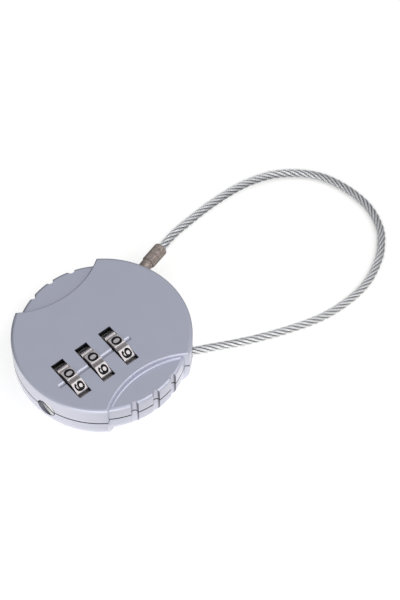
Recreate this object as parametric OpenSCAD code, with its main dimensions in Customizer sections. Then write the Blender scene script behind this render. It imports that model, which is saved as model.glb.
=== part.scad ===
// Round combination cable lock: two die-cast covers, three number dials on a spindle,
// a slotted reset screw, and a steel cable whose free end plugs into the rim.
// The lock lies on its back: +Z is the disc's axis, X runs along the dials' spindle.

/* [Body] */
// Diameter of the round body
body_d = 43; // [41:0.5:50]
// Height of the front cover, from its face to the parting line
front_h = 5.5; // [5:0.05:6]
// Rounding of the front cover's edge
front_edge_r = 0.85; // [0.4:0.05:1.2]
// Rounding of the back cover's edge
back_edge_r = 5; // [3:0.1:5.5]
// Thickness of the covers' side walls
side_wall = 1.8; // [1.4:0.1:2.2]
// Thickness of the front cover's face
face_wall = 1.4; // [1:0.1:1.5]
// Thickness of the back cover's floor
floor_wall = 1.4; // [1.2:0.1:2]
// Thickness left under the dials, where the floor is hollowed
dial_floor = 0.75; // [0.6:0.05:1.2]
// Depth of the groove along the parting line
seam_depth = 0.4; // [0.2:0.05:0.5]
// Width of the groove along the parting line
seam_w = 0.26; // [0.1:0.02:0.4]

/* [Grips] */
// Radius of the arc that bounds a grip
grip_arc_r = 21.5; // [17:0.5:26]
// Distance of that arc from the body's axis
grip_reach = 13.8; // [13:0.1:14.5]
// Depth of a grip below the face
grip_drop = 1.5; // [0.8:0.1:1.8]
// Set-back of a grip's rim from the body's rim
grip_setback = 1.05; // [0.8:0.05:2]
// Rounding of the step between the face and a grip
step_r = 0.6; // [0.3:0.1:0.8]
// Width of a grip's notches
notch_w = 1.9; // [1.4:0.1:2.2]
// Depth of a grip's notches
notch_depth = 1; // [1:0.05:1.3]
// Angle between a grip's notches
notch_angle = 16.5; // [14:0.5:20]

/* [Dials] */
// Diameter of a dial across its corners
dial_d = 13.1; // [12.5:0.1:13.6]
// Width of a dial
dial_w = 3; // [2.8:0.1:3.2]
// Distance between the dials
dial_pitch = 7; // [6.8:0.1:7.4]
// Distance of the spindle from the body's axis
spindle_offset = 5.13; // [4.8:0.01:5.4]
// Angle between a dial's first flat and the index line
dial_rest_angle = 7; // [0:0.5:18]
// Angle that a groove between two flats takes up
groove_angle = 10; // [8:1:14]
// Depth of the grooves between the flats
groove_depth = 0.6; // [0.3:0.1:0.8]
// Gap around a dial, at its sides and under it
dial_gap = 0.25; // [0.2:0.05:0.4]
// Distance of a dial from the middle of its window, away from the reset hole
dial_play = 0.15; // [0:0.05:0.2]
// Length of a dial window
window_l = 11.2; // [9.5:0.1:11.5]
// Distance of the windows' middle from the spindle, towards the reader
window_shift = 0.15; // [0:0.05:0.3]
// Width of the engraved index line
index_w = 1.2; // [0.8:0.1:1.6]
// Depth of the index line
index_depth = 0.25; // [0.15:0.05:0.4]
// Length of the index line past the outer windows
index_reach = 1.8; // [1:0.1:2.4]

/* [Code mechanism] */
// Diameter of the spindle
spindle_d = 2.8; // [2.4:0.1:3]
// Diameter of the spindle's tail, inside its spring
tail_d = 1.8; // [1.4:0.1:1.9]
// Diameter of a clutch sleeve's barrel
sleeve_d = 4.8; // [4.4:0.1:5]
// Diameter of a clutch sleeve's flange
flange_d = 7.4; // [6.8:0.1:7.4]
// Thickness of a clutch sleeve's flange
flange_t = 1; // [0.8:0.1:1.1]
// Height of the clutch teeth
tooth_h = 0.5; // [0.4:0.1:0.6]
// Width of the clutch teeth
tooth_w = 0.8; // [0.6:0.1:0.9]
// Depth of the gate in a flange
gate_depth = 0.8; // [0.6:0.1:0.9]
// Width of the gate in a flange
gate_w = 1.1; // [1:0.1:1.2]
// Travel of the spindle when the code is set
reset_travel = 1; // [0.9:0.05:1]
// Thickness of the partitions beside the dials
rib_t = 1.1; // [0.8:0.1:1.2]
// Diameter of the hole for the reset screw
reset_hole_d = 4.9; // [4.4:0.1:5.2]
// Depth of the reset screw's head inside the hole
reset_recess = 0.5; // [0.5:0.1:1.3]
// Length of the reset screw's head
screw_l = 3.28; // [2.8:0.01:3.4]
// Length of the reset screw's stem
stem_l = 3; // [2.5:0.1:3.5]
// Width of the slot in the reset screw
slot_w = 0.8; // [0.6:0.1:1]
// Thickness of the locking spring's plate
plate_t = 0.8; // [0.6:0.1:1]
// Thickness of the detent spring's leaf
leaf_t = 0.3; // [0.2:0.05:0.35]

/* [Cable and plug] */
// Angle on the rim where the plug goes in
plug_angle = 28.6; // [27:0.1:30]
// Direction of the plug
plug_turn = 14.5; // [13:0.1:16]
// Diameter of the plug pin
pin_d = 3; // [2.8:0.1:3.1]
// Diameter of the pin's neck between the body and the ferrule
neck_d = 2.9; // [2.5:0.1:2.9]
// Length of the neck outside the rim
neck_l = 4.35; // [3.8:0.05:5]
// Length of the pin inside the rim
pin_l = 11.5; // [11:0.1:12]
// Width of the crimp ferrule across its flats
ferrule_d = 3.3; // [3.1:0.1:3.6]
// Length of the crimp ferrule
ferrule_l = 5.35; // [4.8:0.05:6]
// Angle on the rim where the fixed end comes out
fixed_angle = -44.4; // [-46:0.1:-43]
// Direction of the fixed end
fixed_turn = -26.7; // [-28:0.1:-25]
// Diameter of the anchor ferrule
anchor_d = 3.2; // [3:0.1:3.4]
// Length of the anchor ferrule
anchor_l = 5; // [4.5:0.1:5.5]
// Diameter of the wire rope
rope_d = 2; // [1.8:0.1:2]
// Diameter over the clear sleeve
sleeve_over_d = 2.6; // [2.4:0.1:2.7]

/* [Hidden] */

$fn = 96;

// Clearances
run_gap = 0.06;
side_gap = 0.2;
seat_gap = 0.02;
end_gap = 0.05;

// Colours
silver_paint = [0.66, 0.67, 0.73];
nickel = [0.72, 0.69, 0.66];
steel = [0.62, 0.62, 0.64];
spring_steel = [0.5, 0.5, 0.53];
brown_nickel = [0.53, 0.47, 0.44];

// Body
body_r = body_d / 2;
dial_r = dial_d / 2;
pocket_r = dial_r + dial_gap;
axis_z = dial_floor + pocket_r;
body_t = axis_z + front_h;
face_in = body_t - face_wall;
spindle_y = -spindle_offset;
grip_centre = grip_reach + grip_arc_r;
grip_r = body_r - grip_setback;
grip_back_r = back_edge_r - grip_drop;
grip_wall = 1.5;

// Places along the spindle
window_w = dial_w + 2 * dial_gap;
window_y = spindle_y - window_shift;
digits = 10;
step = 360 / digits;
rib_reach = spindle_y + pocket_r;
sleeve_r = sleeve_d / 2;
tooth_l = reset_travel - side_gap;
clutch_mid = 0;
collar_t = 0.5;
collar_stand = 0.3;
clip_t = 0.4;
clip_bite = 0.35;
clip_stand = 0.8;
coil_wire_r = 0.2;
rim_x = -round(100 * sqrt(body_r * body_r - spindle_y * spindle_y)) / 100;
screw_x = rim_x + reset_recess;
screw_end_x = screw_x + screw_l;
first_rib_x = screw_end_x + reset_travel + side_gap;
first_dial_x = first_rib_x + rib_t + window_w / 2;
first_window_x = first_dial_x - dial_play;
last_dial_x = first_dial_x + 2 * dial_pitch;
spring_start_x = first_rib_x + 3 * dial_pitch + rib_t + reset_travel;
spring_l = 5.2;
end_rib_x = spring_start_x + spring_l;

// Plug and cable axes
plug_out = [cos(plug_turn), sin(plug_turn), 0];
plug_mouth = body_r * [cos(plug_angle), sin(plug_angle), 0] + [0, 0, axis_z];
fixed_out = [cos(fixed_turn), sin(fixed_turn), 0];
fixed_mouth = body_r * [cos(fixed_angle), sin(fixed_angle), 0] + [0, 0, axis_z];
pin_r = pin_d / 2;
plug_bore_r = pin_r + run_gap;
boss_wall = 0.95;
eject_l = 3;
catch_s = -8.3;
catch_l = 1.6;
catch_r = 0.95;
tail_l = 2;
anchor_s = -side_wall;
anchor_r = anchor_d / 2;
rope_r = rope_d / 2;
rope_fit_r = rope_r + seat_gap;
sleeve_out_r = sleeve_over_d / 2;

function plug_at(s) = plug_mouth + s * plug_out;
function fixed_at(s) = fixed_mouth + s * fixed_out;

// Drive pins, in the solid ends beside the grips
drive_pin_r = 1;
drive_pin_l = 7;
drive_pin_x = body_r / 3;
grip_inner_y = grip_centre - sqrt(pow(grip_arc_r + grip_wall, 2) - drive_pin_x * drive_pin_x);
drive_pin_y = (grip_inner_y + sqrt(grip_r * grip_r - drive_pin_x * drive_pin_x)) / 2;
drive_pins_at = [for (sx = [-1, 1], sy = [-1, 1]) [drive_pin_x * sx, drive_pin_y * sy]];

// Route of the cable from the ferrule round to the fixed end, in millimetres
loop_points = [
    [33, 14, 7.4], [38, 14.8, 7], [47, 16, 5.8], [57, 16.6, 4], [65.5, 15.4, 2.4],
    [71.5, 12.2, 1.6], [76, 7.2, 1.4], [78.5, 0.2, 1.4], [79, -7.3, 1.4], [77, -13.8, 1.4],
    [74, -17.8, 1.4], [70, -21.1, 1.4], [63.5, -24.3, 1.8], [56, -25.9, 2.8],
    [47, -26.1, 4.4], [37.5, -24.4, 6.2], [27.5, -21.1, 7.4]
];
rope_in = neck_l + ferrule_l;
rope_start = plug_at(neck_l + tail_l + side_gap);
rope_end = fixed_at(anchor_s - anchor_l + end_gap);
rope_points = concat([rope_start, plug_at(rope_in)], loop_points, [fixed_at(4), fixed_at(0), rope_end]);
sleeve_points = concat([plug_at(rope_in + seat_gap)], loop_points, [fixed_at(4), fixed_at(anchor_s + seat_gap)]);

// A smooth curve through a list of points, with one more point in each stretch
function held(p, i) = p[max(0, min(len(p) - 1, i))];
function between(p, i) = (9 * (p[i] + p[i + 1]) - held(p, i - 1) - held(p, i + 2)) / 16;
function smooth(p) = [
    for (i = [0 : len(p) - 1], k = [0 : i < len(p) - 1 ? 1 : 0])
    k == 0 ? p[i] : between(p, i)
];

// Rings of a tube along a list of points, each square to the line
function unit(v) = v / norm(v);
function heading(p, i) = unit(held(p, i + 1) - held(p, i - 1));
function ring(c, t, r, sides) = let (a = unit(cross([0, 0, 1], t)), b = cross(t, a))
    [for (k = [0 : sides - 1]) c + r * (cos(360 * k / sides) * a + sin(360 * k / sides) * b)];
function rings(p, r, sides) = [for (i = [0 : len(p) - 1]) each ring(p[i], heading(p, i), r, sides)];
function side_faces(from, n, sides, out) = [
    for (i = [0 : n - 2], k = [0 : sides - 1])
    let (a = from + i * sides + k, b = from + i * sides + (k + 1) % sides)
    each out ? [[a, a + sides, b], [b, a + sides, b + sides]] : [[a, b, a + sides], [b, b + sides, a + sides]]
];
function cap(from, sides, out) = [
    for (k = [1 : sides - 2]) out ? [from, from + k, from + k + 1] : [from, from + k + 1, from + k]
];
function annulus(a, b, sides, out) = [
    for (k = [0 : sides - 1])
    let (j = (k + 1) % sides)
    each out ? [[a + k, a + j, b + k], [b + k, a + j, b + j]] : [[a + k, b + k, a + j], [b + k, b + j, a + j]]
];

// A solid rod along a list of points
module rod(p, r, sides) {
    n = len(p);
    polyhedron(
        rings(p, r, sides),
        concat(side_faces(0, n, sides, true), cap(0, sides, true), cap((n - 1) * sides, sides, false))
    );
}

// An open tube along a list of points
module tube(p, r_out, r_in, sides) {
    n = len(p);
    polyhedron(
        concat(rings(p, r_out, sides), rings(p, r_in, sides)),
        concat(
            side_faces(0, n, sides, true),
            side_faces(n * sides, n, sides, false),
            annulus(0, n * sides, sides, true),
            annulus((n - 1) * sides, (2 * n - 1) * sides, sides, false)
        )
    );
}

// A coil spring along X from the origin, with closed turns at both ends
function coil_x(u, turns, l, wire_r) = let (free = l - 4 * wire_r, k = min(1, max(0, (u * turns - 1) / (turns - 2))))
    wire_r + 2 * wire_r * (min(1, u * turns) + max(0, u * turns - turns + 1)) * 0.55 + (free - 0.4 * wire_r) * k;
function coil(l, mean_r, wire_r, turns, steps) = [
    for (i = [0 : turns * steps])
    let (u = i / (turns * steps), a = 360 * u * turns)
    [coil_x(u, turns, l, wire_r), mean_r * cos(a), mean_r * sin(a)]
];
function coil_ring(p, i, r, sides) = let (t = heading(p, i), a = unit([0, p[i][1], p[i][2]]), b = cross(t, a))
    [for (k = [0 : sides - 1]) p[i] + r * (cos(360 * k / sides) * unit(a - (a * t) * t) + sin(360 * k / sides) * b)];
module coil_spring(l, mean_r, wire_r, turns) {
    sides = 6;
    p = coil(l, mean_r, wire_r, turns, 10);
    n = len(p);
    polyhedron(
        [for (i = [0 : n - 1]) each coil_ring(p, i, wire_r, sides)],
        concat(side_faces(0, n, sides, true), cap(0, sides, true), cap((n - 1) * sides, sides, false))
    );
}

// Round bars on the spindle's axis, the plug's axis and the fixed end's axis
module on_spindle(x0, x1, r) {
    translate([x0, spindle_y, axis_z]) rotate([0, 90, 0]) cylinder(r = r, h = x1 - x0);
}
module on_plug(s0, s1, r) {
    translate(plug_at(s0)) rotate([0, 90, plug_turn]) cylinder(r = r, h = s1 - s0);
}
module turned_on_plug(outline) {
    translate(plug_at(0)) rotate([0, 90, plug_turn]) rotate_extrude() polygon(outline);
}
module on_fixed(s0, s1, r) {
    translate(fixed_at(s0)) rotate([0, 90, fixed_turn]) cylinder(r = r, h = s1 - s0);
}

// Half outline of a disc with rounded edges and a groove at the parting line
module disc_outline(r, bottom, top, bottom_r, top_r) {
    difference() {
        union() {
            translate([0, bottom + bottom_r]) square([r, top - top_r - bottom - bottom_r]);
            translate([0, bottom]) square([r - bottom_r, bottom_r + 1]);
            translate([0, top - top_r - 1]) square([r - top_r, top_r + 1]);
            translate([r - bottom_r, bottom + bottom_r]) circle(bottom_r);
            translate([r - top_r, top - top_r]) circle(top_r);
        }
        polygon([
            [r - seam_depth, axis_z],
            [r + seam_depth, axis_z - seam_w],
            [r + seam_depth, axis_z + seam_w]
        ]);
        translate([-2 * r, bottom - 1]) square([2 * r, top - bottom + 2]);
    }
}

// Space outside one grip's arc, which widens where it meets the two faces
module grip_space() {
    lift = 0.04;
    translate([0, grip_centre, 0]) rotate_extrude() {
        translate([0, -1]) square([grip_arc_r, body_t + 2]);
        difference() {
            translate([grip_arc_r - 0.1, body_t - step_r]) square([step_r + 0.1, step_r + 1]);
            translate([grip_arc_r + step_r, body_t - step_r + lift]) circle(step_r);
        }
        difference() {
            translate([grip_arc_r - 0.1, -1]) square([step_r + 0.1, step_r + 1]);
            translate([grip_arc_r + step_r, step_r - lift]) circle(step_r);
        }
    }
}

// Fillet at the foot of the step, on the front of one grip
module step_fillet() {
    lift = 0.03;
    foot = body_t - grip_drop;
    intersection() {
        translate([0, grip_centre, 0]) rotate_extrude() difference() {
            translate([grip_arc_r - step_r, foot - 0.3]) square([step_r + 0.3, step_r + 0.3]);
            translate([grip_arc_r - step_r, foot + step_r]) circle(step_r + lift);
        }
        cylinder(r = grip_r - front_edge_r, h = body_t);
    }
}

// Outer form of the whole lock, before it is parted and hollowed
module blank() {
    difference() {
        union() {
            difference() {
                rotate_extrude() disc_outline(body_r, 0, body_t, back_edge_r, front_edge_r);
                for (s = [0, 180]) rotate(s) grip_space();
            }
            rotate_extrude()
                disc_outline(grip_r, grip_drop, body_t - grip_drop, grip_back_r, front_edge_r);
            for (s = [0, 180]) rotate(s) step_fillet();
        }
        for (s = [90, -90], k = [-1, 0, 1]) rotate(s + k * notch_angle)
            translate([grip_r - notch_depth + notch_w / 2, 0, -1]) cylinder(d = notch_w, h = body_t + 2);
    }
}

// Partitions beside the dials, the end bearing and the bosses on the three axes
module inner_walls() {
    for (i = [0 : 3])
        translate([first_rib_x + i * dial_pitch, -body_r, 0]) cube([rib_t, body_r + rib_reach, body_t]);
    translate([end_rib_x, spindle_y - sleeve_r, 0]) cube([rib_t, sleeve_d, body_t]);
    on_spindle(-body_r, first_rib_x + 0.1, reset_hole_d / 2 + boss_wall);
    on_plug(-pin_l - eject_l - boss_wall, 2, plug_bore_r + boss_wall);
    on_fixed(anchor_s - anchor_l - boss_wall, 2, anchor_r + boss_wall);
}

// Hollow of the covers, inside the walls and between the grips
module hollow() {
    inner_r = body_r - side_wall;
    inner_edge_r = back_edge_r - floor_wall;
    difference() {
        union() {
            rotate_extrude() {
                translate([0, floor_wall + inner_edge_r]) square([inner_r, face_in - floor_wall - inner_edge_r]);
                translate([0, floor_wall]) square([inner_r - inner_edge_r, inner_edge_r + 1]);
                intersection() {
                    translate([inner_r - inner_edge_r, floor_wall + inner_edge_r]) circle(inner_edge_r);
                    square(2 * body_r);
                }
            }
        }
        for (s = [-1, 1]) translate([0, s * grip_centre, -1]) cylinder(r = grip_arc_r + grip_wall, h = body_t + 2);
        inner_walls();
    }
}

// Everything cut from both covers
module cuts() {
    hollow();
    for (i = [0 : 2]) {
        x = first_window_x + i * dial_pitch;
        on_spindle(x - window_w / 2, x + window_w / 2, pocket_r);
        translate([x - window_w / 2, window_y - window_l / 2, axis_z]) cube([window_w, window_l, body_t]);
    }
    on_spindle(-body_r - 1, first_rib_x, reset_hole_d / 2);
    on_spindle(first_rib_x - 1, spring_start_x, spindle_d / 2 + run_gap);
    on_spindle(spring_start_x, end_rib_x + 2 * rib_t, tail_d / 2 + run_gap);
    on_plug(-pin_l - eject_l, 3, plug_bore_r);
    on_fixed(anchor_s - anchor_l, anchor_s, anchor_r + seat_gap);
    on_fixed(anchor_s - 0.5, 3, sleeve_out_r + run_gap);
    nose_slot();
    for (p = drive_pins_at)
        translate([p[0], p[1], axis_z - drive_pin_l / 2]) cylinder(r = drive_pin_r + seat_gap, h = drive_pin_l);
}

// Hollow of the engraved line that the digits are read at, round in section
module index_line() {
    index_r = (index_w * index_w / 4 + index_depth * index_depth) / (2 * index_depth);
    x0 = first_window_x - window_w / 2 - index_reach;
    x1 = first_window_x + 2 * dial_pitch + window_w / 2 + index_reach;
    translate([x0, window_y, body_t + index_r - index_depth]) rotate([0, 90, 0]) cylinder(r = index_r, h = x1 - x0);
}

module front_cover() {
    color(silver_paint) difference() {
        intersection() {
            blank();
            translate([0, 0, axis_z]) cylinder(r = body_r + 1, h = front_h + 1);
        }
        cuts();
        index_line();
    }
}

module back_cover() {
    color(silver_paint) difference() {
        intersection() {
            blank();
            translate([0, 0, -1]) cylinder(r = body_r + 1, h = axis_z + 1);
        }
        cuts();
    }
}

module drive_pins() {
    color(steel) for (p = drive_pins_at)
        translate([p[0], p[1], axis_z - drive_pin_l / 2]) cylinder(r = drive_pin_r, h = drive_pin_l);
}

// Outline of a dial: flats with a groove between each two
function dial_points() = [
    for (d = [0 : digits - 1], c = [d * step])
    each [
        dial_r * [cos(c - (step - groove_angle) / 2), sin(c - (step - groove_angle) / 2)],
        dial_r * [cos(c + (step - groove_angle) / 2), sin(c + (step - groove_angle) / 2)],
        (dial_r - groove_depth) * [cos(c + step / 2 - groove_angle / 4), sin(c + step / 2 - groove_angle / 4)],
        (dial_r - groove_depth) * [cos(c + step / 2 + groove_angle / 4), sin(c + step / 2 + groove_angle / 4)]
    ]
];

// Turns a shape drawn along Z onto the spindle, with its first flat beside the index line
module on_dial(i) {
    translate([first_dial_x + i * dial_pitch, spindle_y, axis_z])
        rotate([-dial_rest_angle, 0, 0]) rotate([0, 90, 0]) rotate(180) children();
}

module dial(i) {
    bore_r = sleeve_r + run_gap;
    free_r = sleeve_r + tooth_h + 2 * run_gap;
    color(nickel) on_dial(i) difference() {
        translate([0, 0, -dial_w / 2]) linear_extrude(dial_w) polygon(dial_points());
        translate([0, 0, -dial_w]) cylinder(r = bore_r, h = 2 * dial_w);
        translate([0, 0, clutch_mid]) cylinder(r = free_r, h = dial_w);
        for (d = [0 : digits - 1]) rotate(d * step)
            translate([bore_r - 0.4, -tooth_w / 2 - run_gap, -dial_w])
                cube([tooth_h + 0.4, tooth_w + 2 * run_gap, 1.4 * dial_w]);
    }
}

module dial_1() { dial(0); }
module dial_2() { dial(1); }
module dial_3() { dial(2); }

// Clutch sleeve: toothed barrel inside the dial, and a flange with one gate beside it
module clutch_sleeve(i) {
    barrel_z = clutch_mid - end_gap - tooth_l;
    flange_z = dial_w / 2 + side_gap / 2;
    color(brown_nickel) on_dial(i) difference() {
        union() {
            translate([0, 0, barrel_z]) cylinder(r = sleeve_r, h = flange_z - barrel_z + flange_t);
            translate([0, 0, flange_z]) cylinder(d = flange_d, h = flange_t);
            for (d = [0 : 2 : digits - 1]) rotate(d * step)
                translate([0, -tooth_w / 2, barrel_z]) cube([sleeve_r + tooth_h, tooth_w, tooth_l]);
        }
        translate([0, 0, barrel_z - 1]) cylinder(d = spindle_d + 2 * run_gap, h = 2 * dial_w);
        rotate(90) translate([flange_d / 2 - gate_depth, -gate_w / 2, flange_z - 0.5])
            cube([gate_depth + 1, gate_w, flange_t + 1]);
    }
}

module clutch_sleeve_1() { clutch_sleeve(0); }
module clutch_sleeve_2() { clutch_sleeve(1); }
module clutch_sleeve_3() { clutch_sleeve(2); }

// Places of a sleeve's clip and collar from the middle of its dial
clip_x = dial_w / 2 + side_gap / 2 + flange_t + end_gap;
collar_x = clutch_mid - end_gap - tooth_l - end_gap - collar_t;
clip_in_r = spindle_d / 2 - clip_bite;
clip_out_r = spindle_d / 2 + clip_stand;

// Spindle with a collar at each sleeve, grooves for the clips, and a thin tail in its spring
module spindle() {
    color(steel) difference() {
        union() {
            on_spindle(screw_end_x + end_gap, spring_start_x, spindle_d / 2);
            on_spindle(spring_start_x - 0.1, end_rib_x + rib_t, tail_d / 2);
            for (i = [0 : 2]) {
                x = first_dial_x + i * dial_pitch + collar_x;
                on_spindle(x, x + collar_t, sleeve_r - collar_stand);
            }
        }
        for (i = [0 : 2]) {
            x = first_dial_x + i * dial_pitch + clip_x;
            difference() {
                on_spindle(x, x + clip_t + seat_gap, spindle_d);
                on_spindle(x - clip_t, x + 2 * clip_t, clip_in_r);
            }
        }
        on_spindle(screw_end_x - stem_l, screw_end_x + stem_l, screw_stem_r + run_gap);
    }
}

// Three open clips in the spindle's grooves
module sleeve_clips() {
    color(spring_steel) for (i = [0 : 2]) {
        x = first_dial_x + i * dial_pitch + clip_x;
        difference() {
            on_spindle(x, x + clip_t, clip_out_r);
            on_spindle(x - clip_t, x + 2 * clip_t, clip_in_r + seat_gap);
            translate([x - clip_t, spindle_y - clip_in_r, axis_z - 2 * clip_out_r])
                cube([3 * clip_t, 2 * clip_in_r, 2 * clip_out_r]);
        }
    }
}

module spindle_spring() {
    color(spring_steel) translate([spring_start_x + seat_gap, spindle_y, axis_z])
        coil_spring(spring_l - 2 * seat_gap, tail_d / 2 + coil_wire_r + 2 * run_gap, coil_wire_r, 7);
}

// Reset screw: slotted head in the rim's hole, with a stem that turns in the spindle
stem_wall = 0.6;
head_gap = 0.15;
slot_depth = 0.9;
screw_stem_r = spindle_d / 2 - stem_wall;
screw_head_r = reset_hole_d / 2 - head_gap;
module reset_screw() {
    color(nickel) difference() {
        union() {
            on_spindle(screw_x, screw_end_x, screw_head_r);
            on_spindle(screw_end_x - end_gap, screw_end_x + stem_l - end_gap, screw_stem_r);
        }
        translate([screw_x - slot_depth, spindle_y - body_t, axis_z - slot_w / 2])
            cube([2 * slot_depth, 2 * body_t, slot_w]);
    }
}

// Detent leaf: a strip on the floor with three fingers bent towards the dials
detent_gap = 0.1;
detent_y = rib_reach + 2 * detent_gap + leaf_t;
detent_drop = 2.3;
finger_angle = 38;
finger_l = 0.9;
finger_tip = dial_r + detent_gap + leaf_t / 2;
finger_end = finger_tip + finger_l;
function finger_line() = [
    [detent_y + leaf_t / 2, axis_z - detent_drop],
    [spindle_y + finger_tip * cos(finger_angle), axis_z - finger_tip * sin(finger_angle)],
    [spindle_y + finger_end * cos(finger_angle + 7), axis_z - finger_end * sin(finger_angle + 7)]
];
module leaf_stroke(p, q) {
    d = unit(q - p);
    o = leaf_t / 2 * [-d[1], d[0]];
    e = leaf_t / 2 * d;
    polygon([p + o - e, q + o + e, q - o + e, p - o - e]);
}
module detent_spring() {
    x0 = first_dial_x - dial_w / 2;
    x1 = last_dial_x + dial_w / 2;
    finger_w = 0.6 * dial_w;
    p = finger_line();
    color(spring_steel) {
        translate([x0, detent_y, floor_wall])
            cube([x1 - x0, leaf_t, axis_z - detent_drop - floor_wall + leaf_t / 2]);
        for (i = [0 : 2])
            translate([first_dial_x + i * dial_pitch - finger_w / 2, 0, 0])
                rotate([90, 0, 90]) linear_extrude(finger_w) {
                    leaf_stroke(p[0], p[1]);
                    leaf_stroke(p[1], p[2]);
                }
    }
}

// Locking spring: a plate on two springy legs, with a finger for each gate and a nose in the plug's groove
bar_y = rib_reach + side_gap;
bar_w = 1;
leg_t = 0.4;
leg_w = 3;
gate_gap = 0.15;
gate_finger_w = 0.7;
finger_tip_y = spindle_y + flange_d / 2 + gate_gap;
nose_w = 1;
nose_gap = 0.3;
nose_x = plug_at(catch_s)[0] + (catch_r + pin_r) / 2 * sin(plug_turn) - nose_w / 2;
nose_tip_y = plug_at(catch_s)[1] - catch_r - nose_gap;
legs_x = [first_dial_x + 1.5 * dial_pitch - leg_w, last_dial_x + dial_pitch / 2 - leg_w / 2];
module locking_spring() {
    x0 = first_dial_x - dial_w / 2;
    color(spring_steel) {
        translate([x0, bar_y, axis_z - plate_t / 2]) cube([nose_x + nose_w - x0, bar_w, plate_t]);
        for (i = [0 : 2]) {
            x = first_dial_x + i * dial_pitch + dial_w / 2 + side_gap / 2 + flange_t / 2;
            translate([x - gate_finger_w / 2, finger_tip_y, axis_z - plate_t / 2])
                cube([gate_finger_w, bar_y - finger_tip_y + leg_t, plate_t]);
        }
        translate([nose_x, bar_y + bar_w - leg_t, axis_z - plate_t / 2])
            cube([nose_w, nose_tip_y - bar_y - bar_w + leg_t, plate_t]);
        for (x = legs_x)
            translate([x, bar_y + bar_w - leg_t, floor_wall]) cube([leg_w, leg_t, axis_z - floor_wall]);
    }
}

// Slot in the plug's boss that the nose works in
module nose_slot() {
    slot_l = 2 * boss_wall + pin_d;
    translate([nose_x - side_gap, nose_tip_y - slot_l, axis_z - plate_t / 2 - side_gap])
        cube([nose_w + 2 * side_gap, slot_l + 2 * side_gap, plate_t + 2 * side_gap]);
}

// Plug pin: shaft with a groove for the nose, a thinner neck, and a tail inside the ferrule
module plug_pin() {
    tip = 0.5;
    color(nickel) turned_on_plug([
        [0, -pin_l],
        [pin_r - tip, -pin_l],
        [pin_r, -pin_l + tip],
        [pin_r, catch_s - catch_l / 2],
        [catch_r, catch_s - catch_l / 2],
        [catch_r, catch_s + catch_l / 2],
        [pin_r, catch_s + catch_l / 2],
        [pin_r, 0],
        [neck_d / 2, 0],
        [neck_d / 2, neck_l],
        [rope_r, neck_l],
        [rope_r, neck_l + tail_l],
        [0, neck_l + tail_l]
    ]);
}

// Crimp ferrule: a tube pressed to six flats, with its corners left round
module crimp_ferrule() {
    edge = 0.25;
    round_r = 1.09 * ferrule_d / 2;
    corner_r = ferrule_d / 2 / cos(30);
    color(brown_nickel) intersection() {
        turned_on_plug([
            [rope_fit_r, neck_l],
            [round_r - edge, neck_l],
            [round_r, neck_l + edge],
            [round_r, neck_l + ferrule_l - edge],
            [round_r - edge, neck_l + ferrule_l],
            [rope_fit_r, neck_l + ferrule_l]
        ]);
        translate(plug_at(neck_l - 1)) rotate([0, 90, plug_turn]) linear_extrude(ferrule_l + 2)
            polygon([for (k = [0 : 5]) corner_r * [cos(60 * k + 30), sin(60 * k + 30)]]);
    }
}

module eject_spring() {
    color(spring_steel) translate(plug_at(-pin_l - eject_l + seat_gap)) rotate([0, 0, plug_turn])
        coil_spring(eject_l - 2 * seat_gap, pin_r - coil_wire_r - end_gap, coil_wire_r, 5);
}

module anchor_ferrule() {
    color(steel) difference() {
        on_fixed(anchor_s - anchor_l, anchor_s, anchor_r);
        on_fixed(anchor_s - anchor_l - 1, anchor_s + 1, rope_fit_r);
    }
}

module wire_rope() {
    color(steel) rod(smooth(rope_points), rope_r, 8);
}

module clear_sleeve() {
    color([0.95, 0.96, 0.97, 0.35]) tube(smooth(sleeve_points), sleeve_out_r, rope_r + 0.04, 8);
}

front_cover();
back_cover();
drive_pins();
dial_1();
dial_2();
dial_3();
clutch_sleeve_1();
clutch_sleeve_2();
clutch_sleeve_3();
spindle();
sleeve_clips();
spindle_spring();
reset_screw();
detent_spring();
locking_spring();
plug_pin();
crimp_ferrule();
eject_spring();
anchor_ferrule();
wire_rope();
clear_sleeve();
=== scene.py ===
from math import cos, pi, radians, sin

import bpy
from mathutils import Matrix, Vector


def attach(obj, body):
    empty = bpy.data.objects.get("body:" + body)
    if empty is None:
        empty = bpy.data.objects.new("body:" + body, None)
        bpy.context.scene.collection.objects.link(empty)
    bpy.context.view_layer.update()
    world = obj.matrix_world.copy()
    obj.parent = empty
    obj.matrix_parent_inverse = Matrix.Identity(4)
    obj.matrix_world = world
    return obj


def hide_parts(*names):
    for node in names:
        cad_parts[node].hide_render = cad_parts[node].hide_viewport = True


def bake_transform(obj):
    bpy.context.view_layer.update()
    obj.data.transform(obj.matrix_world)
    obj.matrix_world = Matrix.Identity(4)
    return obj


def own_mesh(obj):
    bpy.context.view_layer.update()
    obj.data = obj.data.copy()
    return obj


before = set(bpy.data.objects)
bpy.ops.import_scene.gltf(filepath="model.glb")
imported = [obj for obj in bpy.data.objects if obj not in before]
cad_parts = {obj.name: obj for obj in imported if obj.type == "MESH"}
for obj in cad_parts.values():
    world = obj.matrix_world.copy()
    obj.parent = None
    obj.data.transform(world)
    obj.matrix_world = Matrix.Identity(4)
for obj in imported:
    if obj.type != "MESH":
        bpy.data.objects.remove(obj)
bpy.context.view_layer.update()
mm = 0.001

# Camera
# A long lens looks down on the lock from the front left, as in the photograph.
lens_length, sensor_width = 125.34, 36
camera_place, camera_view = Vector((-0.1491, -0.2158, 0.43009)), Vector((0.3476, 0.4186, -0.8390))
camera_data = bpy.data.cameras.new("photo_camera")
camera_data.lens = lens_length
camera_data.sensor_width = sensor_width
camera_data.sensor_fit = "AUTO"
camera = bpy.data.objects.new("photo_camera", camera_data)
bpy.context.collection.objects.link(camera)
camera.location = camera_place
camera.rotation_euler = camera_view.to_track_quat("-Z", "Y").to_euler()
bpy.context.scene.camera = camera

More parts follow.
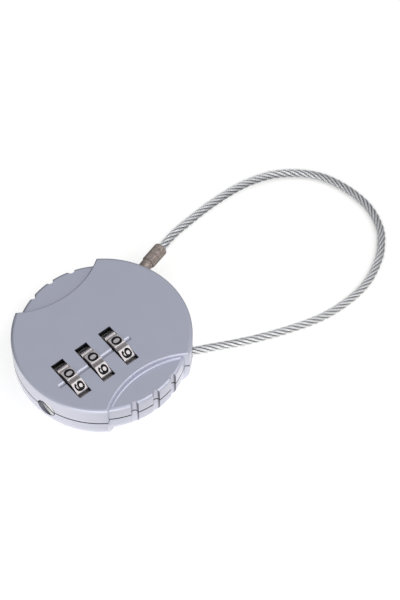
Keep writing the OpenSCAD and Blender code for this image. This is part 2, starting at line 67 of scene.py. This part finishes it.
# Wire rope
# Six strands of bright steel wire, laid right-handed round a core. One end is crimped in the plug's
# ferrule, the other between the covers, and the loop between them lies on its far bend.
body_r, axis_z = 21.5, 7.55
plug_angle, plug_turn = radians(28.6), radians(14.5)
fixed_angle, fixed_turn = radians(-44.4), radians(-26.7)
plug_mouth = Vector((body_r * cos(plug_angle), body_r * sin(plug_angle), axis_z))
plug_out = Vector((cos(plug_turn), sin(plug_turn), 0))
fixed_mouth = Vector((body_r * cos(fixed_angle), body_r * sin(fixed_angle), axis_z))
fixed_out = Vector((cos(fixed_turn), sin(fixed_turn), 0))
loop_points = [
    (33, 14, 7.4), (38, 14.8, 7), (47, 16, 5.8), (57, 16.6, 4), (65.5, 15.4, 2.4),
    (71.5, 12.2, 1.6), (76, 7.2, 1.4), (78.5, 0.2, 1.4), (79, -7.3, 1.4), (77, -13.8, 1.4),
    (74, -17.8, 1.4), (70, -21.1, 1.4), (63.5, -24.3, 1.8), (56, -25.9, 2.8),
    (47, -26.1, 4.4), (37.5, -24.4, 6.2), (27.5, -21.1, 7.4),
]
ferrule_end, rope_start, straight_run, anchor_start, anchor_end = 9.7, 6.55, 4, -1.8, -6.75
rope_spacing = 0.4
strands, strand_wires, strand_shift = 6, 6, 19
strand_lay, wire_lay = 10.8 * mm, -5.2 * mm
strand_reach, wire_reach, wire_r, core_r = 0.667 * mm, 0.222 * mm, 0.115 * mm, 0.42 * mm
wire_sides, core_sides = 5, 8


def smooth_route(points, spacing):
    """A smooth curve through points in millimetres, cut into steps of about the spacing, in metres."""
    fine, parts = [], 24
    last = len(points) - 1
    for i in range(last):
        p0, p1, p2, p3 = (points[min(last, max(0, i + k))] for k in (-1, 0, 1, 2))
        for k in range(parts):
            t = k / parts
            fine.append(0.5 * (2 * p1 + (p2 - p0) * t + (2 * p0 - 5 * p1 + 4 * p2 - p3) * t * t
                               + (3 * p1 - p0 - 3 * p2 + p3) * t ** 3))
    fine.append(points[last])
    lengths = [0.0]
    for a, b in zip(fine, fine[1:]):
        lengths.append(lengths[-1] + (b - a).length)
    count = round(lengths[-1] / spacing)
    route, j = [], 0
    for k in range(count + 1):
        want = lengths[-1] * k / count
        while j < len(fine) - 2 and lengths[j + 1] < want:
            j += 1
        share = (want - lengths[j]) / (lengths[j + 1] - lengths[j])
        route.append(fine[j].lerp(fine[j + 1], share) * mm)
    return route


def route_frames(route):
    """Along the route: the point, its direction, and two directions across it that don't twist."""
    frames = []
    across = Vector((0, 0, 1))
    for i, point in enumerate(route):
        along = (route[min(len(route) - 1, i + 1)] - route[max(0, i - 1)]).normalized()
        across = (across - across.dot(along) * along).normalized()
        frames.append((point, along, across, along.cross(across)))
    return frames


def wire_mesh(lines, radius, sides):
    """Round wires along the lines. The last two faces of each are its closed ends."""
    verts, faces = [], []
    for line in lines:
        first = len(verts)
        for point, along, side, up in route_frames(line):
            verts += [point + radius * (cos(2 * pi * k / sides) * side + sin(2 * pi * k / sides) * up)
                      for k in range(sides)]
        for i in range(len(line) - 1):
            for k in range(sides):
                a, b = first + i * sides + k, first + i * sides + (k + 1) % sides
                faces.append((a, b, b + sides, a + sides))
        faces.append(tuple(first + k for k in reversed(range(sides))))
        faces.append(tuple(len(verts) - sides + k for k in range(sides)))
    return verts, faces


loop = [Vector(p) for p in loop_points]
rope_points = [plug_mouth + rope_start * plug_out, plug_mouth + ferrule_end * plug_out] + loop + [
    fixed_mouth + straight_run * fixed_out, fixed_mouth, fixed_mouth + anchor_end * fixed_out]
rope_route = smooth_route(rope_points, rope_spacing)
rope_step = (rope_route[1] - rope_route[0]).length
wires = []
for s in range(strands):
    for w in range(strand_wires):
        wire = []
        for i, (point, along, side, up) in enumerate(route_frames(rope_route)):
            turn = 2 * pi * (i * rope_step / strand_lay + s / strands)
            outward = cos(turn) * side + sin(turn) * up
            round_about = along.cross(outward)
            twist = 2 * pi * (i * rope_step / wire_lay + w / strand_wires + s / strand_shift)
            wire.append(point + strand_reach * outward
                        + wire_reach * (cos(twist) * outward + sin(twist) * round_about))
        wires.append(wire)
rope_verts, rope_faces = wire_mesh(wires, wire_r, wire_sides)
core_verts, core_faces = wire_mesh([rope_route], core_r, core_sides)
from_rope_axis = [(vert - rope_route[n // wire_sides % len(rope_route)]).length
                  for n, vert in enumerate(rope_verts)]
from_rope_axis += [core_r] * len(core_verts)
rope_faces += [tuple(len(rope_verts) + v for v in face) for face in core_faces]
rope_verts += core_verts
rope_mesh = bpy.data.meshes.new("steel_rope")
rope_mesh.from_pydata(rope_verts, [], rope_faces)
rope_mesh.shade_smooth()
rope_mesh.attributes.new("from_axis", "FLOAT", "POINT").data.foreach_set("value", from_rope_axis)
steel_rope = bpy.data.objects.new("steel_rope", rope_mesh)
bpy.context.collection.objects.link(steel_rope)


def node_tools(tree):
    """Two helpers for a node tree: one adds a node, the other sets or links a node's inputs."""
    def fill(node, inputs):
        for key, value in inputs.items():
            if hasattr(value, "is_output"):
                tree.links.new(value, node.inputs[key])
            else:
                node.inputs[key].default_value = value

    def add(kind, inputs=None, **settings):
        node = tree.nodes.new(kind)
        for key, value in settings.items():
            setattr(node, key, value)
        fill(node, inputs or {})
        return node

    return add, fill


def new_material(name):
    """A material with a Principled shader, a helper that adds nodes and one that sets the shader."""
    material = bpy.data.materials.new(name)
    material.use_nodes = True
    add, fill = node_tools(material.node_tree)

    def shade(inputs):
        fill(material.node_tree.nodes["Principled BSDF"], inputs)

    return material, add, shade


def fine_variation():
    """Group: soft cloudy change and fine specks over a surface, for colour, roughness and bumps."""
    group = bpy.data.node_groups.new("fine_variation", "ShaderNodeTree")
    for name in ("Cloud scale", "Speck scale"):
        group.interface.new_socket(name, in_out="INPUT", socket_type="NodeSocketFloat")
    for name in ("Clouds", "Specks"):
        group.interface.new_socket(name, in_out="OUTPUT", socket_type="NodeSocketFloat")
    add, fill = node_tools(group)
    scales, results = add("NodeGroupInput").outputs, add("NodeGroupOutput")
    place = add("ShaderNodeTexCoord").outputs["Object"]
    for name, scale, detail in (("Clouds", "Cloud scale", 3), ("Specks", "Speck scale", 1)):
        noise = add("ShaderNodeTexNoise", {"Vector": place, "Scale": scales[scale], "Detail": detail})
        fill(results, {name: noise.outputs["Fac"]})
    return group


variation_group = fine_variation()


def variation(add, cloud_scale, speck_scale=5000):
    """The group's clouds and specks, placed in a material at their scales."""
    scales = {"Cloud scale": cloud_scale, "Speck scale": speck_scale}
    return add("ShaderNodeGroup", scales, node_tree=variation_group).outputs


def ramp(add, value, start, end, low=0, high=1):
    """A value that goes from low to high while another goes from start to end, and stays there."""
    limits = {"From Min": start, "From Max": end, "To Min": low, "To Max": high}
    return add("ShaderNodeMapRange", {"Value": value, **limits}).outputs["Result"]


def mix(add, share, first, second):
    """A colour between two others."""
    inputs = {"Factor": share, "A": first, "B": second}
    return add("ShaderNodeMix", inputs, data_type="RGBA").outputs["Result"]


def metal(name, dark, light, rough, rough_spread=0.08, cloud_scale=220, speck_scale=5000, bump=0.0):
    """A bare or plated metal: two close tones, uneven polish and, where bumpy, a fine grain."""
    grain_depth = 0.02 * mm
    material, add, shade = new_material(name)
    change = variation(add, cloud_scale, speck_scale)
    tone = mix(add, change["Clouds"], (*dark, 1), (*light, 1))
    polish = ramp(add, change["Clouds"], 0, 1, rough - rough_spread, rough + rough_spread)
    shade({"Base Color": tone, "Roughness": polish, "Metallic": 1})
    if bump:
        grain = add("ShaderNodeBump", {"Height": change["Specks"], "Strength": bump, "Distance": grain_depth})
        shade({"Normal": grain.outputs["Normal"]})
    return material, add, shade, tone


crown_r, furrow_r, furrow_shade_tone = 0.9 * mm, 0.64 * mm, (0.1, 0.1, 0.11, 1)
wire_steel, wire_add, wire_shade, wire_tone = metal(
    "wire_steel", dark=(0.84, 0.84, 0.85), light=(0.94, 0.94, 0.95), rough=0.25)
from_axis = wire_add("ShaderNodeAttribute", attribute_name="from_axis").outputs["Fac"]
# Painted shade darkens the wires where they lie deep in the furrows between them.
in_furrows = ramp(wire_add, from_axis, crown_r, furrow_r)
wire_shade({"Base Color": mix(wire_add, in_furrows, wire_tone, furrow_shade_tone)})
steel_rope.data.materials.append(wire_steel)

# Clear sleeve
# Soft clear plastic, extruded on the rope so that it fills the furrows between the strands.
# It runs from the ferrule's mouth into the rim, and ends at the anchor.
sleeve_gap, sleeve_spacing = 0.02, 0.8
sleeve_r, sleeve_wall, sleeve_sides = 1.3 * mm, 0.6 * mm, 24
sleeve_points = [plug_mouth + (ferrule_end + sleeve_gap) * plug_out] + loop + [
    fixed_mouth + straight_run * fixed_out, fixed_mouth + (anchor_start + sleeve_gap) * fixed_out]
sleeve_route = smooth_route(sleeve_points, sleeve_spacing)
sleeve_verts, sleeve_faces = wire_mesh([sleeve_route], sleeve_r, sleeve_sides)
open_tube = sleeve_faces[:-2]
sleeve_mesh = bpy.data.meshes.new("clear_coat")
sleeve_mesh.from_pydata(sleeve_verts, [], open_tube)
sleeve_mesh.shade_smooth()
clear_coat = bpy.data.objects.new("clear_coat", sleeve_mesh)
bpy.context.collection.objects.link(clear_coat)
bpy.ops.object.select_all(action="DESELECT")
bpy.context.view_layer.objects.active = clear_coat
clear_coat.select_set(True)
wall = clear_coat.modifiers.new("wall", "SOLIDIFY")
wall.thickness = sleeve_wall
wall.offset = -1
bpy.ops.object.modifier_apply(modifier="wall")

haze_scale, haze_low, haze_high = 150, 0.08, 0.2
clear_middle, clear_edge = 0.02, 0.2
clear_plastic, plastic_add, plastic_shade = new_material("clear_plastic")
haze = variation(plastic_add, haze_scale)["Clouds"]
facing = plastic_add("ShaderNodeLayerWeight", {"Blend": 0.5}).outputs["Facing"]
plastic_shade({
    "Base Color": (0.95, 0.95, 0.96, 1), "IOR": 1.5,
    "Roughness": ramp(plastic_add, haze, 0, 1, haze_low, haze_high),
    "Alpha": ramp(plastic_add, facing, 0, 1, clear_middle, clear_edge),
})
clear_coat.data.materials.append(clear_plastic)

for piece, node, slot in ((steel_rope, "wire_rope", "wire"), (clear_coat, "clear_sleeve", "clear_pvc")):
    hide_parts(node)
    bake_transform(piece)

# Covers
# Two halves die-cast in zinc, painted satin silver, and pinned together along the rim's parting line.
# The paint covers the outside only: in the windows, the bores and the hollow the casting is bare, and painted
# shade darkens it nearly to black. Painted shade also darkens the parting groove and the notches' walls in
# the grips.
spindle_y, face_z, dial_offset = -5.13, 13.05, 0.15
window_x, window_y, window_half_x, window_half_y = -6.2, spindle_y - dial_offset, 8.77, 5.62
painted_depth, shade_depth, back_skin = 0.28, 0.36, 0.4
reset_mouth, reset_out = Vector((-body_r, spindle_y, axis_z)), Vector((-1, 0, 0))
reset_bore_r, plug_bore_r, cable_bore_r, reset_shade = 2.47, 1.58, 1.38, 0.6
hollow_r, hollow_half_y, hollow_z, hollow_half_z = 19.5, 11.7, 6.25, 4.96
parting_half = 0.21
notch_r, notch_half_x, notch_shade = 19.3, 7.2, 0.6
wall_slanted, wall_square = 15, 19


def calc(add, operation, *values):
    """One step of arithmetic in a material."""
    return add("ShaderNodeMath", dict(enumerate(values)), operation=operation).outputs[0]


def off_axis(add, place, point, direction):
    """How far a place is from a line, in metres."""
    offset = add("ShaderNodeVectorMath", {0: place, 1: point}, operation="SUBTRACT").outputs[0]
    square_to = add("ShaderNodeVectorMath", {0: offset, 1: direction}, operation="CROSS_PRODUCT").outputs[0]
    return add("ShaderNodeVectorMath", {0: square_to}, operation="LENGTH").outputs["Value"]


def unpainted(add):
    """A mask of the covers' bare casting and painted shade."""
    def both(first, second):
        return calc(add, "MULTIPLY", first, second)

    def either(first, second):
        return calc(add, "MAXIMUM", first, second)

    def within(value, middle, half):
        away = calc(add, "ABSOLUTE", calc(add, "SUBTRACT", value, middle * mm))
        return calc(add, "LESS_THAN", away, half * mm)

    coordinates = add("ShaderNodeTexCoord").outputs
    place = coordinates["Object"]
    xyz = add("ShaderNodeSeparateXYZ", {0: place}).outputs
    normal = add("ShaderNodeSeparateXYZ", {0: coordinates["Normal"]}).outputs
    from_centre = off_axis(add, place, (0, 0, 0), (0, 0, 1))

    # Painted shade inside the windows, below the face.
    in_windows = both(within(xyz["X"], window_x, window_half_x), within(xyz["Y"], window_y, window_half_y))
    under_face = ramp(add, xyz["Z"], (face_z - painted_depth) * mm, (face_z - shade_depth) * mm)
    off_back = calc(add, "GREATER_THAN", xyz["Z"], back_skin * mm)
    mask = both(both(in_windows, under_face), off_back)

    # Painted shade in the bores; the reset bore's is lighter.
    for mouth, outward, bore_r, dark in ((reset_mouth, reset_out, reset_bore_r, reset_shade),
                                         (plug_mouth, plug_out, plug_bore_r, 1),
                                         (fixed_mouth, fixed_out, cable_bore_r, 1)):
        in_bore = calc(add, "LESS_THAN", off_axis(add, place, mouth * mm, outward), bore_r * mm)
        along = add("ShaderNodeVectorMath", {0: place, 1: outward}, operation="DOT_PRODUCT").outputs["Value"]
        on_this_side = calc(add, "GREATER_THAN", along, 0)
        mask = either(mask, both(both(in_bore, on_this_side), dark))

    # Painted shade in the hollow inside the covers.
    in_round = both(calc(add, "LESS_THAN", from_centre, hollow_r * mm), within(xyz["Y"], 0, hollow_half_y))
    mask = either(mask, both(in_round, within(xyz["Z"], hollow_z, hollow_half_z)))
    # Painted shade along the parting groove between the covers.
    mask = either(mask, within(xyz["Z"], axis_z, parting_half))

    # A notch's walls face along the rim, where the rest of the rim faces outwards.
    along_rim = calc(add, "SUBTRACT", both(xyz["X"], normal["Y"]), both(xyz["Y"], normal["X"]))
    faces_along = calc(add, "ABSOLUTE", along_rim)
    # Painted shade on the notches' walls.
    on_notch_wall = ramp(add, faces_along, wall_slanted * mm, wall_square * mm, 0, notch_shade)
    in_notches = both(calc(add, "GREATER_THAN", from_centre, notch_r * mm), within(xyz["X"], 0, notch_half_x))
    return either(mask, both(in_notches, on_notch_wall))


paint_dark, paint_light = (0.55, 0.562, 0.67, 1), (0.59, 0.602, 0.705, 1)
# The bare casting's tone, darkened nearly to black as painted shade.
flake_tone, bare_and_shade_tone = (0.7, 0.71, 0.76, 1), (0.022, 0.022, 0.024, 1)
paint_scale, orange_peel_scale, flake_scale, flake_share = 160, 9000, 14000, 0.12
satin_low, satin_high, bare_rough = 0.33, 0.41, 0.65
silver_paint, paint_add, paint_shade = new_material("silver_paint")
bare_and_shade = unpainted(paint_add)
clouds = variation(paint_add, paint_scale, orange_peel_scale)
paint_place = paint_add("ShaderNodeTexCoord").outputs["Object"]
flakes = paint_add("ShaderNodeTexVoronoi", {"Vector": paint_place, "Scale": flake_scale}).outputs["Color"]
flake_light = paint_add("ShaderNodeSeparateColor", {0: flakes}).outputs["Red"]
paint_tone = mix(paint_add, clouds["Clouds"], paint_dark, paint_light)
flaked = mix(paint_add, calc(paint_add, "MULTIPLY", flake_light, flake_share), paint_tone, flake_tone)
satin = ramp(paint_add, clouds["Clouds"], 0, 1, satin_low, satin_high)
polish = paint_add("ShaderNodeMix", {"Factor": bare_and_shade, "A": satin, "B": bare_rough}, data_type="FLOAT")
grain = paint_add("ShaderNodeBump", {"Height": clouds["Specks"], "Strength": 0.06, "Distance": 0.01 * mm})
paint_shade({
    "Base Color": mix(paint_add, bare_and_shade, flaked, bare_and_shade_tone), "Metallic": 0.8,
    "Roughness": polish.outputs["Result"], "Normal": grain.outputs["Normal"],
})


def finish_nodes(material, *names):
    """Gives CAD nodes a finish."""
    for name in names:
        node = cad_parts[name]
        node.data.materials.clear()
        node.data.materials.append(material)


finish_nodes(silver_paint, "front_cover", "back_cover")

# Drive pins
# Four plain steel pins, pressed into both covers beside the grips and hidden in the metal.
bright_steel = metal(
    "bright_steel", dark=(0.5, 0.5, 0.52), light=(0.62, 0.62, 0.64), rough=0.3, bump=0.1)[0]
finish_nodes(bright_steel, "drive_pins")

# Spindle and its clips
# A turned steel shaft with a collar for each sleeve, and three open clips of spring steel in its grooves.
# It slides a millimetre along its axis when the code is set.
spring_steel = metal(
    "spring_steel", dark=(0.3, 0.29, 0.29), light=(0.44, 0.43, 0.44), rough=0.3, cloud_scale=400, bump=0.1)[0]
finish_nodes(bright_steel, "spindle")
finish_nodes(spring_steel, "sleeve_clips")

# Spindle spring
# A coil of spring steel on the spindle's tail, held between the spindle's shoulder and the end rib.
# It pushes the spindle back, and is a millimetre shorter while the code is set; the coil made here keeps one
# length.
spindle_travel, coil_merge, coil_smooth = 1 * mm, 0.0001 * mm, radians(40)
finish_nodes(spring_steel, "spindle_spring")
spindle_coil = bpy.data.objects.new("spindle_coil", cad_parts["spindle_spring"].data.copy())
bpy.context.collection.objects.link(spindle_coil)
bpy.ops.object.select_all(action="DESELECT")
bpy.context.view_layer.objects.active = spindle_coil
spindle_coil.select_set(True)
bpy.ops.object.mode_set(mode="EDIT")
bpy.ops.mesh.select_all(action="SELECT")
bpy.ops.mesh.remove_doubles(threshold=coil_merge)
bpy.ops.object.mode_set(mode="OBJECT")
bpy.ops.object.shade_smooth_by_angle(angle=coil_smooth)
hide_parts("spindle_spring")
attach(spindle_coil, "body")
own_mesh(spindle_coil)

# Clutch sleeves
# Turned brass, one in each dial: five teeth hold it to the dial, and its flange has the gate that the
# locking plate's finger drops into.
turned_brass = metal(
    "turned_brass", dark=(0.55, 0.4, 0.16), light=(0.68, 0.52, 0.24), rough=0.28, bump=0.15)[0]
finish_nodes(turned_brass, "clutch_sleeve_1", "clutch_sleeve_2", "clutch_sleeve_3")

# Dials
# Three number wheels, die-cast with ten flats and a groove between each two, and plated with bright nickel.
# Painted shade darkens the grooves and the dials' sides, and the flats' edges carry a painted highlight and
# are rounded by a bump.
first_dial_x, dial_pitch, dial_flat, dial_rest = -13.05, 7, 6.382, -7
clean_r, groove_r, groove_shade, side_facing, side_shade = 6.1, 5.96, 0.7, 0.7, 0.9
highlight_start, highlight_full, round_start, round_end, round_depth = 6.495, 6.53, 6.512, 6.55, 0.09
edge_highlight_tone, dial_shade_tone = (0.97, 0.95, 0.95, 1), (0.1, 0.085, 0.085, 1)
nickel, nickel_add, nickel_shade, nickel_tone = metal(
    "nickel", dark=(0.5, 0.455, 0.465), light=(0.84, 0.78, 0.79), rough=0.42, rough_spread=0.06,
    cloud_scale=900)
nickel_place = nickel_add("ShaderNodeTexCoord").outputs
from_spindle = off_axis(nickel_add, nickel_place["Object"], (0, spindle_y * mm, axis_z * mm), (1, 0, 0))
# Painted shade in the grooves and on the dials' sides.
in_grooves = ramp(nickel_add, from_spindle, clean_r * mm, groove_r * mm, 0, groove_shade)
facing_x = nickel_add("ShaderNodeSeparateXYZ", {0: nickel_place["Normal"]}).outputs["X"]
on_side = calc(nickel_add, "GREATER_THAN", calc(nickel_add, "ABSOLUTE", facing_x), side_facing)
dial_shade = calc(nickel_add, "MAXIMUM", in_grooves, calc(nickel_add, "MULTIPLY", on_side, side_shade))
# Painted highlight on the flats' edges.
edge_highlight = ramp(nickel_add, from_spindle, highlight_start * mm, highlight_full * mm)
highlighted = mix(nickel_add, edge_highlight, nickel_tone, edge_highlight_tone)
edge_fall = ramp(nickel_add, from_spindle, round_start * mm, round_end * mm, 1, 0)
edge_round = nickel_add("ShaderNodeBump", {"Height": edge_fall, "Distance": round_depth * mm})
nickel_shade({"Base Color": mix(nickel_add, dial_shade, highlighted, dial_shade_tone), "Metallic": 0.65,
              "Normal": edge_round.outputs["Normal"]})
finish_nodes(nickel, "dial_1", "dial_2", "dial_3")

# Digits
# Ten plain numbers round each dial, sunk in the flats and filled with black enamel.
# They read from the right of the lock, so each stands with its head along the spindle.
digit_height, digit_widen, digit_depth, digit_stand = 2.5 * mm, 1.6, 0.06 * mm, 0.015 * mm
digit_shift, digit_turn, digit_merge = 0.08, 36, 0.00001
typed_depth, typed_bolder, typed_steps = 0.02, 0.015, 5
nine_stroke = [
    (-0.95, -0.55), (-0.6, -0.93), (0, -1), (0.6, -0.85), (0.93, -0.4), (1, 0.15), (0.9, 0.65), (0.5, 0.95),
    (0, 1), (-0.6, 0.88), (-0.95, 0.5), (-0.95, 0.2), (-0.6, -0.15), (0, -0.28), (0.6, -0.15), (0.95, 0.2),
]
four_stroke = [(0.45, -1), (0.45, 1), (-1, -0.45), (1, -0.45)]
half_width, half_height, half_stroke = 0.158, 0.29, 0.078


def typed_digit(number):
    """A digit in Blender's own plain letters, a little bolder."""
    bpy.ops.object.text_add(location=(0, 0, 0))
    glyph = bpy.context.active_object.data
    glyph.body = str(number)
    glyph.extrude = typed_depth
    glyph.offset = typed_bolder
    glyph.resolution_u = typed_steps


def drawn_digit(stroke, way_up, bends):
    """A digit drawn as one stroke, with round or sharp bends. A nine the other way up is a six."""
    bpy.ops.curve.primitive_bezier_curve_add(location=(0, 0, 0))
    curve = bpy.context.active_object.data
    curve.bevel_depth, curve.bevel_resolution, curve.resolution_u = half_stroke, 2, 3
    curve.use_fill_caps = True
    line = curve.splines[0]
    line.bezier_points.add(len(stroke) - len(line.bezier_points))
    for knot, (x, y) in zip(line.bezier_points, stroke):
        knot.co = (way_up * half_width * x, way_up * half_height * y, 0)
        knot.handle_left_type = knot.handle_right_type = bends


digits = []
for number in range(10):
    bpy.ops.object.select_all(action="DESELECT")
    if number == 4:
        drawn_digit(four_stroke, 1, "VECTOR")
    elif number in (6, 9):
        drawn_digit(nine_stroke, 1 if number == 9 else -1, "AUTO")
    else:
        typed_digit(number)
    bpy.ops.object.convert(target="MESH")
    digit = bpy.context.active_object
    bpy.ops.object.mode_set(mode="EDIT")
    bpy.ops.mesh.select_all(action="SELECT")
    bpy.ops.mesh.remove_doubles(threshold=digit_merge)
    bpy.ops.object.mode_set(mode="OBJECT")
    corners = [vert.co for vert in digit.data.vertices]
    low = Vector([min(c[k] for c in corners) for k in range(3)])
    high = Vector([max(c[k] for c in corners) for k in range(3)])
    scale = digit_height / (high.y - low.y)
    centred = (Matrix.Diagonal((digit_widen * scale, scale, digit_depth / (high.z - low.z), 1))
               @ Matrix.Translation(-(low + high) / 2))
    head_along_spindle = Matrix.Rotation(radians(-90), 4, "Z")
    on_flat = Matrix.Translation((0, 0, dial_flat * mm + digit_stand - digit_depth / 2))
    round_dial = Matrix.Rotation(radians(dial_rest - digit_turn * number), 4, "X")
    on_spindle = Matrix.Translation(((first_dial_x + digit_shift) * mm, spindle_y * mm, axis_z * mm))
    digit.data.transform(on_spindle @ round_dial @ on_flat @ head_along_spindle @ centred)
    digits.append(digit)
bpy.ops.object.select_all(action="DESELECT")
for digit in digits:
    digit.select_set(True)
bpy.context.view_layer.objects.active = digits[0]
bpy.ops.object.join()
first_digits = bpy.context.active_object
enamel_dark, enamel_light = (0.003, 0.003, 0.003, 1), (0.012, 0.01, 0.01, 1)
enamel_scale, enamel_low, enamel_high = 900, 0.35, 0.6
black_enamel, enamel_add, enamel_shade = new_material("black_enamel")
enamel_clouds = variation(enamel_add, enamel_scale)["Clouds"]
enamel_shade({
    "Base Color": mix(enamel_add, enamel_clouds, enamel_dark, enamel_light), "Specular IOR Level": 0.15,
    "Roughness": ramp(enamel_add, enamel_clouds, 0, 1, enamel_low, enamel_high),
})
first_digits.data.materials.clear()
first_digits.data.materials.append(black_enamel)
for k in range(3):
    dial_digits = first_digits
    if k:
        dial_digits = first_digits.copy()
        dial_digits.data = first_digits.data.copy()
        dial_digits.data.transform(Matrix.Translation((k * dial_pitch * mm, 0, 0)))
        bpy.context.collection.objects.link(dial_digits)
    dial_digits.name = f"dial_{k + 1}_digits"
    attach(dial_digits, f"dial_{k + 1}")

# Reset screw
# A nickel-plated screw with a slotted head, deep in the hole in the rim and turned a quarter to set the code.
satin_nickel = metal(
    "satin_nickel", dark=(0.66, 0.66, 0.68), light=(0.78, 0.78, 0.8), rough=0.5, cloud_scale=600)[0]
finish_nodes(satin_nickel, "reset_screw")

# Detent and locking springs
# Two stampings of oiled spring steel: a leaf whose fingers click on the dials, and the plate whose fingers
# face the gates and whose nose holds the plug. Both stand in slots in the covers.
finish_nodes(spring_steel, "detent_spring", "locking_spring")

# Plug and ferrule
# A turned pin with a catch groove, and a ferrule crimped to six flats round the pin's tail and the rope.
# Both are plated a dull brown-grey, scuffed by the crimping dies.
brown_nickel = metal(
    "brown_nickel", dark=(0.07, 0.055, 0.045), light=(0.84, 0.71, 0.655), rough=0.6, cloud_scale=1500,
    speck_scale=2500, bump=0.8)[0]
finish_nodes(brown_nickel, "plug_pin", "crimp_ferrule")

# Eject spring
# A short coil behind the plug that pushes it out when the code is right.
finish_nodes(spring_steel, "eject_spring")

# Anchor
# A steel ferrule crimped on the rope's fixed end and clamped between the covers.
finish_nodes(bright_steel, "anchor_ferrule")

# Stage
# White paper under the lock, a pale studio with a darker far wall, and two large soft lamps in front.
# In reflections only, the paper carries painted light: a glow close to the rim and at its left and right, a
# warmer tone, and a painted shadow of the lock behind it.
floor_size, paper_glow, glow_tone = 3, 0.45, (1, 0.985, 0.94, 1)
paper_tone, painted_reflection_tone, painted_shadow_tone = (0.9, 0.9, 0.9, 1), (0.9, 0.88, 0.82, 1), (0.3, 0.3, 0.3, 1)
behind_slant, behind_start, behind_full = 0.6, 8, 24
left_start, left_full, right_start, right_full, beside_width = -14, -28, 5, 15, 5
front_glow, left_glow, right_glow, beside_glow = 0.15, 0.58, 0.45, 0.5
bpy.ops.object.select_all(action="DESELECT")
bpy.ops.mesh.primitive_plane_add(size=floor_size, location=(0, 0, 0))
floor = bpy.context.active_object
floor.name = "floor"
floor_paper, floor_add, floor_shade = new_material("floor_paper")
rays = floor_add("ShaderNodeLightPath").outputs
seen = calc(floor_add, "MAXIMUM", rays["Is Camera Ray"], rays["Is Transmission Ray"])
floor_place = floor_add("ShaderNodeTexCoord").outputs["Object"]
floor_xyz = floor_add("ShaderNodeSeparateXYZ", {0: floor_place}).outputs
# Painted shadow of the lock behind it, seen only in reflections.
to_far_right = calc(floor_add, "MULTIPLY_ADD", floor_xyz["X"], behind_slant, floor_xyz["Y"])
shadow_behind = ramp(floor_add, to_far_right, behind_start * mm, behind_full * mm)
# Painted light beside the lock and to its left and right, seen only in reflections.
to_left = ramp(floor_add, floor_xyz["X"], left_start * mm, left_full * mm, front_glow, left_glow)
to_right = ramp(floor_add, floor_xyz["X"], right_start * mm, right_full * mm, 0, right_glow)
from_lock = off_axis(floor_add, floor_place, (0, 0, 0), (0, 0, 1))
beside = ramp(floor_add, from_lock, body_r * mm, (body_r + beside_width) * mm, beside_glow, 0)
near_side = calc(floor_add, "ADD", beside, calc(floor_add, "MAXIMUM", to_left, to_right))
painted_reflection_glow = calc(floor_add, "MULTIPLY", calc(floor_add, "SUBTRACT", 1, shadow_behind), near_side)
painted_reflection_glow = calc(floor_add, "MULTIPLY", rays["Is Glossy Ray"], painted_reflection_glow)
shaded = mix(floor_add, shadow_behind, painted_reflection_tone, painted_shadow_tone)
floor_shade({
    "Base Color": mix(floor_add, rays["Is Glossy Ray"], paper_tone, shaded), "Roughness": 0.9,
    "Emission Color": glow_tone,
    "Emission Strength": calc(floor_add, "MAXIMUM", calc(floor_add, "MULTIPLY", seen, paper_glow), painted_reflection_glow),
})
floor.data.materials.append(floor_paper)

sky_tone, sky_light, wall_light, wall_start, wall_full = (0.95, 0.97, 1.0, 1), 0.62, 0.15, 0.5, 0.95
world = bpy.data.worlds.new("studio")
bpy.context.scene.world = world
world.use_nodes = True
sky_add, sky_fill = node_tools(world.node_tree)
towards = sky_add("ShaderNodeSeparateXYZ", {0: sky_add("ShaderNodeTexCoord").outputs["Generated"]}).outputs
far_wall = ramp(sky_add, towards["Y"], wall_start, wall_full, sky_light, wall_light)
sky_fill(world.node_tree.nodes["Background"], {"Color": sky_tone, "Strength": far_wall})
for name, brightness, width, height, spot in (("front", 1.1, 1.0, 0.6, (-0.5, -0.58, 0.3)),
                                              ("key", 1.3, 0.5, 0.5, (0.25, -0.33, 0.62))):
    lamp_data = bpy.data.lights.new(name, "AREA")
    lamp_data.shape = "RECTANGLE"
    lamp_data.size, lamp_data.size_y = width, height
    lamp_data.energy = brightness * pi * width * height
    lamp = bpy.data.objects.new(name, lamp_data)
    bpy.context.collection.objects.link(lamp)
    lamp.location = spot
    lamp.rotation_euler = (-Vector(spot)).to_track_quat("-Z", "Y").to_euler()
bpy.context.scene.view_settings.view_transform = "Standard"
